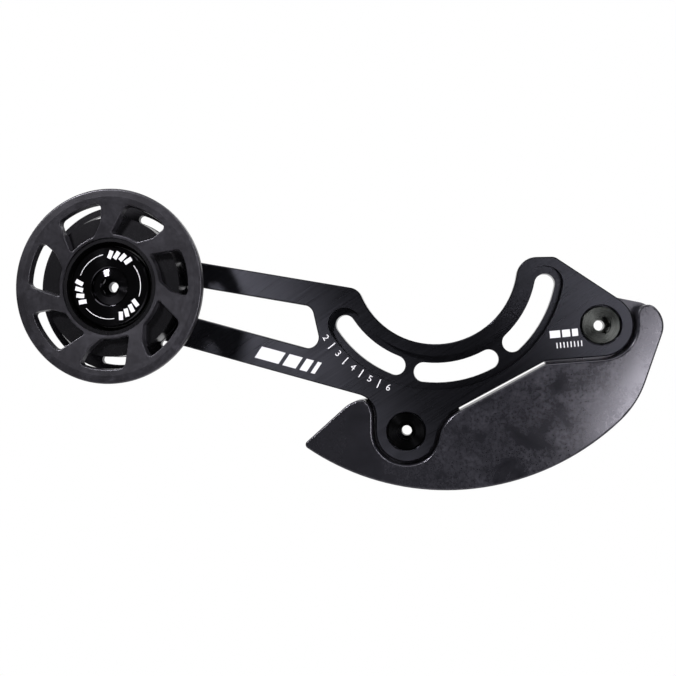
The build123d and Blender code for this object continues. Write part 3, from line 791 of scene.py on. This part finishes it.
def row_of_bars():
    """Tree of upright bars in a row along X, each narrower than the last, leaning to one side.

    A bar's width is the first one's times a power of Shrink, so the widths before it are a geometric sum.
    """
    tree, group, points, index = new_tree(
        "row_of_bars", ("Width", "Shrink", "Gap", "Height", "Thickness", "Slant")
    )
    share = add_node(
        tree, "ShaderNodeMath", {0: group["Shrink"], 1: index}, operation="POWER"
    ).outputs["Value"]
    width = add_node(
        tree, "ShaderNodeMath", {0: group["Width"], 1: share}, operation="MULTIPLY"
    ).outputs["Value"]
    lost = add_node(tree, "ShaderNodeMath", {0: 1.0, 1: share}, operation="SUBTRACT").outputs["Value"]
    loss = add_node(
        tree, "ShaderNodeMath", {0: 1.0, 1: group["Shrink"]}, operation="SUBTRACT"
    ).outputs["Value"]
    widths = add_node(tree, "ShaderNodeMath", {0: lost, 1: loss}, operation="DIVIDE").outputs["Value"]
    gaps = add_node(
        tree, "ShaderNodeMath", {0: index, 1: group["Gap"]}, operation="MULTIPLY"
    ).outputs["Value"]
    start = add_node(
        tree, "ShaderNodeMath", {0: group["Width"], 1: widths, 2: gaps}, operation="MULTIPLY_ADD"
    ).outputs["Value"]
    middle = add_node(
        tree, "ShaderNodeMath", {0: width, 1: 0.5, 2: start}, operation="MULTIPLY_ADD"
    ).outputs["Value"]
    place = add_node(tree, "ShaderNodeCombineXYZ", {"X": middle}).outputs["Vector"]
    placed = add_node(
        tree, "GeometryNodeSetPosition", {"Geometry": points, "Position": place}
    ).outputs["Geometry"]
    size = add_node(
        tree, "ShaderNodeCombineXYZ", {"X": 1.0, "Y": group["Height"], "Z": group["Thickness"]}
    ).outputs["Vector"]
    bar = add_node(tree, "GeometryNodeMeshCube", {"Size": size}).outputs["Mesh"]
    stretch = add_node(tree, "ShaderNodeCombineXYZ", {"X": width, "Y": 1.0, "Z": 1.0}).outputs["Vector"]
    bars = add_node(
        tree, "GeometryNodeInstanceOnPoints", {"Points": placed, "Instance": bar, "Scale": stretch}
    ).outputs["Instances"]
    upright = add_node(tree, "GeometryNodeRealizeInstances", {"Geometry": bars}).outputs["Geometry"]
    spot = add_node(tree, "GeometryNodeInputPosition").outputs["Position"]
    high = add_node(tree, "ShaderNodeSeparateXYZ", {"Vector": spot}).outputs["Y"]
    slope = add_node(tree, "ShaderNodeMath", {0: group["Slant"]}, operation="TANGENT").outputs["Value"]
    lean = add_node(tree, "ShaderNodeMath", {0: high, 1: slope}, operation="MULTIPLY").outputs["Value"]
    shift = add_node(tree, "ShaderNodeCombineXYZ", {"X": lean}).outputs["Vector"]
    leaning = add_node(
        tree, "GeometryNodeSetPosition", {"Geometry": upright, "Offset": shift}
    ).outputs["Geometry"]
    return end_tree(tree, group, leaning)


def ring_of_arcs():
    """Tree of flat arcs on one circle, evenly spaced."""
    tree, group, points, index = new_tree(
        "ring_of_arcs", ("Radius", "Start", "Sweep", "Width", "Thickness")
    )
    arc = add_node(
        tree, "GeometryNodeCurveArc",
        {"Resolution": 64, "Radius": group["Radius"], "Start Angle": 0.0, "Sweep Angle": group["Sweep"]},
    ).outputs["Curve"]
    section = add_node(
        tree, "GeometryNodeCurvePrimitiveQuadrilateral",
        {"Width": group["Width"], "Height": group["Thickness"]},
    ).outputs["Curve"]
    band = add_node(
        tree, "GeometryNodeCurveToMesh", {"Curve": arc, "Profile Curve": section, "Fill Caps": True}
    ).outputs["Mesh"]
    pitch = add_node(
        tree, "ShaderNodeMath", {0: 2 * pi, 1: group["Count"]}, operation="DIVIDE"
    ).outputs["Value"]
    angle = add_node(
        tree, "ShaderNodeMath", {0: index, 1: pitch, 2: group["Start"]}, operation="MULTIPLY_ADD"
    ).outputs["Value"]
    return end_tree(tree, group, turned_copies(tree, points, band, angle))


def plain_mesh(helper):
    """Plain mesh of a helper object as it shows. The helper is deleted."""
    bpy.context.scene.collection.objects.link(helper)
    ready = helper.evaluated_get(bpy.context.evaluated_depsgraph_get())
    mesh = bpy.data.meshes.new_from_object(ready)
    bpy.data.objects.remove(helper)
    return mesh


def grow(tree, values):
    """Plain mesh that a geometry tree makes from these input values."""
    helper = bpy.data.objects.new(tree.name, bpy.data.meshes.new(tree.name))
    modifier = helper.modifiers.new("grow", "NODES")
    modifier.node_group = tree
    for item in tree.interface.items_tree:
        if item.in_out == "INPUT":
            modifier[item.identifier] = values[item.name]
    return plain_mesh(helper)


def typed(text, size, depth):
    """Plain mesh of a line of type, centred on the origin, seen from +Z."""
    curve = bpy.data.curves.new("type", "FONT")
    curve.body = text
    curve.size = size
    curve.extrude = depth / 2
    curve.align_x = "CENTER"
    curve.align_y = "CENTER"
    return plain_mesh(bpy.data.objects.new("type", curve))


def joined(name, placed_meshes, material):
    """One mesh from several, each moved by its own matrix, with one material."""
    bm = bmesh.new()
    for mesh, place in placed_meshes:
        mesh.transform(place)
        bm.from_mesh(mesh)
    bmesh.ops.remove_doubles(bm, verts=bm.verts, dist=WELD)
    bmesh.ops.recalc_face_normals(bm, faces=bm.faces)
    whole = bpy.data.meshes.new(name)
    bm.to_mesh(whole)
    bm.free()
    whole.materials.append(material)
    return whole


def piece(name, mesh, body):
    """Shows a mesh as a piece of the object that rides on a body."""
    mesh.transform(OUTSIDE)
    obj = bpy.data.objects.new(name, mesh)
    bpy.context.scene.collection.objects.link(obj)
    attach(obj, body)


def ink_material(finish):
    """The white ink, made once for all the print."""
    return bpy.data.materials.get(INK) or screen_ink(INK, finish)


class GUIDE_OT_plate(bpy.types.Operator):
    """Brushed black anodising on the arm plate, the axle and the spacer"""

    bl_idname = "guide.plate"
    bl_label = "Finish plate"

    def execute(self, context):
        metal = brushed_anodised("brushed_black_anodising", context.scene.guide_finish)
        for node in ("backplate", "pulley_axle", "pulley_spacer"):
            paint(node, metal)
        return {"FINISHED"}


class GUIDE_OT_skid(bpy.types.Operator):
    """Scuffed nylon on the skid, lighter towards +X with scuffs and with a painted highlight"""

    bl_idname = "guide.skid"
    bl_label = "Finish skid"

    def execute(self, context):
        finish = context.scene.guide_finish
        paint("skid_plate", moulded_nylon(
            "scuffed_nylon_and_painted_highlight", finish, finish.skid_dark, finish.skid_scuffs_and_highlight, finish.skid_scuff,
            finish.skid_satin, finish.skid_gloss, (finish.wear_and_highlight_from, finish.wear_and_highlight_to, SKID_FRONT_Y),
        ))
        return {"FINISHED"}


class GUIDE_OT_pulley(bpy.types.Operator):
    """Satin nylon on the pulley, its drum glossier than its flange and darker with painted shade"""

    bl_idname = "guide.pulley"
    bl_label = "Finish pulley"

    def execute(self, context):
        finish = context.scene.guide_finish
        paint("pulley_front_flange", moulded_nylon(
            "satin_nylon", finish, finish.pulley_dark, finish.pulley_light, finish.flange_scuff,
            finish.flange_satin, finish.flange_satin, WORN_ALL_OVER,
        ))
        # The drum's darker colours are painted shade behind the flange
        paint("pulley_drum", moulded_nylon(
            "gloss_nylon_and_painted_shade", finish, finish.drum_painted_shade, finish.pulley_dark, finish.drum_scuff,
            finish.drum_satin, finish.drum_satin, WORN_ALL_OVER,
        ))
        return {"FINISHED"}


class GUIDE_OT_bolts(bpy.types.Operator):
    """Turned finish on the bolts, nuts and hub cap"""

    bl_idname = "guide.bolts"
    bl_label = "Finish bolts"

    def execute(self, context):
        finish = context.scene.guide_finish
        jobs = (
            ("front_skid_bolt", "bare_turned_aluminium",
             finish.bolt_bare, finish.bare_rough, finish.bare_groove),
            ("lower_skid_bolt", "matt_black_anodising",
             finish.bolt_black, finish.black_rough, finish.black_groove),
            ("pulley_bolt", "bright_black_anodising",
             finish.cap_black, finish.hub_rough, finish.hub_groove),
            ("hub_cap", "polished_black_anodising",
             finish.cap_black, finish.cap_rough, finish.cap_groove),
        )
        for node, name, colour, rough, groove in jobs:
            centre = axis_of(*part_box(node))
            paint(node, turned_metal(name, colour, rough, finish.turned_line, groove, centre))
        # The two nuts are one node, so their rings run round the origin instead of an axis of their own
        paint("skid_nuts", turned_metal(
            "black_anodised_nuts", finish.bolt_black, finish.black_rough, finish.turned_line,
            finish.black_groove, (0, 0),
        ))
        return {"FINISHED"}


class GUIDE_OT_bearing(bpy.types.Operator):
    """Steel and rubber inside the hub"""

    bl_idname = "guide.bearing"
    bl_label = "Finish bearing"

    def execute(self, context):
        finish = context.scene.guide_finish
        line = finish.ground_line
        groove = finish.black_groove
        oxide = turned_metal(
            "black_oxide_steel", finish.oxide, finish.black_rough, line, groove, PULLEY_CENTRE
        )
        steel = turned_metal(
            "ground_steel", finish.steel, finish.steel_rough, line, groove, PULLEY_CENTRE
        )
        rubber = seal_rubber("seal_rubber", finish)
        jobs = (
            ("bearing_outer_race", oxide), ("bearing_inner_race", oxide),
            ("bearing_balls", steel), ("bearing_cage", steel),
            ("bearing_front_seal", rubber), ("bearing_rear_seal", rubber),
        )
        for node, material in jobs:
            paint(node, material)
        return {"FINISHED"}


class GUIDE_OT_scale(bpy.types.Operator):
    """White setting scale along the first mounting slot"""

    bl_idname = "guide.scale"
    bl_label = "Print scale"

    def execute(self, context):
        sizes = context.scene.guide_print
        ink = ink_material(context.scene.guide_finish)
        pitch = sizes.scale_pitch
        ticks = grow(fan_of_bars(), {
            "Count": sizes.scale_count - 1, "Radius": sizes.scale_r, "Start": sizes.scale_start + pitch / 2,
            "Pitch": pitch, "Length": sizes.tick_length, "Width": sizes.line_w, "Thickness": sizes.ink_t,
            "Slant": 0.0, "Material": ink,
        })
        placed = [(ticks, Matrix.Translation((0, 0, PLATE_FRONT)))]
        for index in range(sizes.scale_count):
            angle = sizes.scale_start + index * pitch
            number = typed(str(sizes.scale_first + index), sizes.number_size, sizes.ink_t)
            place = Matrix.Translation((sizes.scale_r * cos(angle), sizes.scale_r * sin(angle), PLATE_FRONT))
            upright = Matrix.Rotation(angle + pi / 2, 4, "Z")
            placed.append((number, place @ upright))
        piece("setting_scale", joined("setting_scale", placed, ink), "guide_body")
        return {"FINISHED"}


class GUIDE_OT_arm_bars(bpy.types.Operator):
    """White bars on the arm and on the front lobe"""

    bl_idname = "guide.arm_bars"
    bl_label = "Print bars"

    def execute(self, context):
        sizes = context.scene.guide_print
        ink = ink_material(context.scene.guide_finish)
        tree = row_of_bars()
        rows = (
            (sizes.arm_place, sizes.arm_angle, sizes.arm_count, sizes.arm_bar, sizes.arm_shrink,
             sizes.arm_gap, sizes.arm_height, sizes.arm_slant),
            (sizes.lobe_place, sizes.lobe_angle, sizes.lobe_count, sizes.lobe_bar, sizes.lobe_shrink,
             sizes.lobe_gap, sizes.lobe_height, 0.0),
            (sizes.rule_place, sizes.lobe_angle, sizes.rule_count, sizes.rule_line, sizes.rule_shrink,
             sizes.rule_gap, sizes.rule_height, 0.0),
        )
        placed = []
        for (x, z), angle, count, width, shrink, gap, height, slant in rows:
            bars = grow(tree, {
                "Count": count, "Width": width, "Shrink": shrink, "Gap": gap, "Height": height,
                "Thickness": sizes.ink_t, "Slant": slant, "Material": ink,
            })
            place = Matrix.Translation((x, z, PLATE_FRONT)) @ Matrix.Rotation(angle, 4, "Z")
            placed.append((bars, place))
        piece("arm_bars", joined("arm_bars", placed, ink), "guide_body")
        return {"FINISHED"}


class GUIDE_OT_cap_print(bpy.types.Operator):
    """White broken ring and groups of bars on the hub cap"""

    bl_idname = "guide.cap_print"
    bl_label = "Print cap"

    def execute(self, context):
        sizes = context.scene.guide_print
        ink = ink_material(context.scene.guide_finish)
        arcs = grow(ring_of_arcs(), {
            "Count": sizes.ring_count, "Radius": sizes.ring_r, "Start": sizes.ring_start,
            "Sweep": sizes.ring_sweep, "Width": sizes.ring_w, "Thickness": sizes.ink_t, "Material": ink,
        })
        lift = Matrix.Translation((PULLEY_CENTRE[0], PULLEY_CENTRE[1], CAP_FRONT))
        placed = [(arcs, lift)]
        tree = fan_of_bars()
        turn = 2 * pi / sizes.ring_count
        half_fan = (sizes.bar_count - 1) / 2 * sizes.bar_pitch
        for index in range(sizes.ring_count):
            middle = sizes.ring_start + sizes.ring_sweep / 2 + (index + 0.5) * turn
            bars = grow(tree, {
                "Count": sizes.bar_count, "Radius": sizes.ring_r - sizes.bar_inset,
                "Start": middle - half_fan, "Pitch": sizes.bar_pitch, "Length": sizes.bar_length,
                "Width": sizes.bar_width, "Thickness": sizes.ink_t, "Slant": sizes.bar_slant, "Material": ink,
            })
            placed.append((bars, lift))
        piece("cap_ring", joined("cap_ring", placed, ink), "guide_body")
        return {"FINISHED"}


class GUIDE_OT_studio(bpy.types.Operator):
    """Camera, softboxes, white backdrop and pale floor"""

    bl_idname = "guide.studio"
    bl_label = "Set up studio"

    def execute(self, context):
        studio = context.scene.guide_studio
        add_camera(context.scene, studio)
        paper = white_paper("white_paper", studio)
        upright = Matrix.Translation((0, studio.backdrop_far, 0)) @ OUTSIDE
        add_sheet("backdrop", studio.sheet_size, upright, paper)
        level = Matrix.Translation((0, 0, -studio.floor_drop))
        add_sheet("floor", studio.sheet_size, level, paper)
        add_softbox("key_softbox", studio.key_place, studio.key_size, studio.key_glow)
        add_softbox("side_softbox", studio.side_place, studio.side_size, studio.side_glow, studio.side_roll)
        add_softbox("fill_softbox", studio.fill_place, studio.fill_size, studio.fill_glow)
        add_softbox("top_softbox", studio.top_place, studio.top_size, studio.top_glow)
        add_softbox("back_softbox", studio.back_place, studio.back_size, studio.back_glow)
        light_room(context.scene, studio.room_grey)
        context.scene.view_settings.view_transform = "Standard"
        return {"FINISHED"}


def add_camera(scene, studio):
    """Camera of the scene, at its place and aim."""
    camera = bpy.data.objects.new("camera", bpy.data.cameras.new("camera"))
    scene.collection.objects.link(camera)
    camera.location = studio.camera_place
    camera.rotation_euler = Vector(studio.camera_aim).to_track_quat("-Z", "Y").to_euler()
    camera.data.lens = studio.camera_lens
    camera.data.clip_start = studio.camera_near
    scene.camera = camera


def add_sheet(name, size, place, material):
    """Flat square of the stage."""
    half = size / 2
    mesh = bpy.data.meshes.new(name)
    corners = [place @ Vector((x * half, y * half, 0)) for x, y in ((-1, -1), (1, -1), (1, 1), (-1, 1))]
    mesh.from_pydata(corners, [], [(0, 1, 2, 3)])
    mesh.materials.append(material)
    sheet = bpy.data.objects.new(name, mesh)
    bpy.context.scene.collection.objects.link(sheet)


def add_softbox(name, place, size, glow, roll=0.0):
    """Rectangular lamp aimed at the middle of the object, its power worked out from its brightness."""
    lamp = bpy.data.lights.new(name, "AREA")
    lamp.shape = "RECTANGLE"
    lamp.size = size[0]
    lamp.size_y = size[1]
    lamp.energy = glow * pi * size[0] * size[1]
    obj = bpy.data.objects.new(name, lamp)
    bpy.context.scene.collection.objects.link(obj)
    obj.location = place
    middle = (CAD_BOX[0] + CAD_BOX[1]) / 2
    aim = (middle - obj.location).to_track_quat("-Z", "Y")
    obj.rotation_euler = (aim.to_matrix() @ Matrix.Rotation(roll, 3, "Z")).to_euler()


def light_room(scene, grey):
    """Even, dim light from all round."""
    world = bpy.data.worlds.new("room")
    world.use_nodes = True
    background = world.node_tree.nodes["Background"]
    background.inputs["Color"].default_value = WHITE
    background.inputs["Strength"].default_value = grey
    scene.world = world


class GUIDE_PT_panel(bpy.types.Panel):
    """Steps that finish the chain guide"""

    bl_label = "Chain guide"
    bl_idname = "GUIDE_PT_panel"
    bl_space_type = "VIEW_3D"
    bl_region_type = "UI"
    bl_category = "Chain guide"

    def draw(self, context):
        for step in STEPS:
            self.layout.operator(step.bl_idname)


STEPS = (
    GUIDE_OT_plate, GUIDE_OT_skid, GUIDE_OT_pulley, GUIDE_OT_bolts, GUIDE_OT_bearing,
    GUIDE_OT_scale, GUIDE_OT_arm_bars, GUIDE_OT_cap_print, GUIDE_OT_studio,
)
GROUPS = (("guide_finish", GuideFinish), ("guide_print", GuidePrint), ("guide_studio", GuideStudio))


def register():
    """Adds the classes and hangs the groups on the scene."""
    for name, group in GROUPS:
        bpy.utils.register_class(group)
        setattr(bpy.types.Scene, name, PointerProperty(type=group))
    for step in STEPS:
        bpy.utils.register_class(step)
    bpy.utils.register_class(GUIDE_PT_panel)


def unregister():
    """Takes away what register adds."""
    bpy.utils.unregister_class(GUIDE_PT_panel)
    for step in reversed(STEPS):
        bpy.utils.unregister_class(step)
    for name, group in reversed(GROUPS):
        delattr(bpy.types.Scene, name)
        bpy.utils.unregister_class(group)


def main():
    """Runs every step in order."""
    register()
    for step in STEPS:
        family, action = step.bl_idname.split(".")
        getattr(getattr(bpy.ops, family), action)()


if __name__ == "__main__":
    main()
